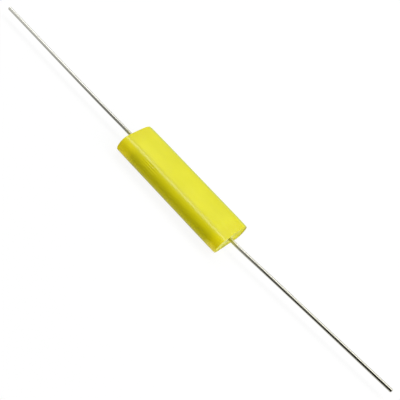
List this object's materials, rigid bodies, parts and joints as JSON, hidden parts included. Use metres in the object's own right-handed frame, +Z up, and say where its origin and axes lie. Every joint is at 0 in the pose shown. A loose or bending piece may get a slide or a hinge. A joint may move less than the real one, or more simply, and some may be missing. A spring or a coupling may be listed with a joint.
{
  "type": "axial film capacitor",
  "caption": "Flat oval film capacitor: a film winding in a yellow tape wrap, closed with resin at its ends, with a tinned wire lead along its axis at each end.",
  "frame": {"origin": "middle of the broad flat face that the body lies on", "axes": "+X along the body's axis towards the lead that is bent a little, +Y across the broad face, +Z up out of the broad face"},
  "size_m": [0.1025, 0.009, 0.0038],
  "materials": {
    "tape": "glossy polyester film tape",
    "film": "metallised film seen edge on",
    "sprayed_metal": "rough sprayed tin and zinc",
    "solder": "satin solder",
    "tinned_wire": "bright tinned copper",
    "resin": "glossy cast resin"
  },
  "bodies": {
    "root": {"outer_wrap": "tape", "film_winding": "film", "left_end_spray": "sprayed_metal", "right_end_spray": "sprayed_metal", "left_solder_joint": "solder", "right_solder_joint": "solder", "left_lead": "tinned_wire", "right_lead": "tinned_wire", "left_end_fill": "resin", "right_end_fill": "resin"}
  },
  "joints": []
}
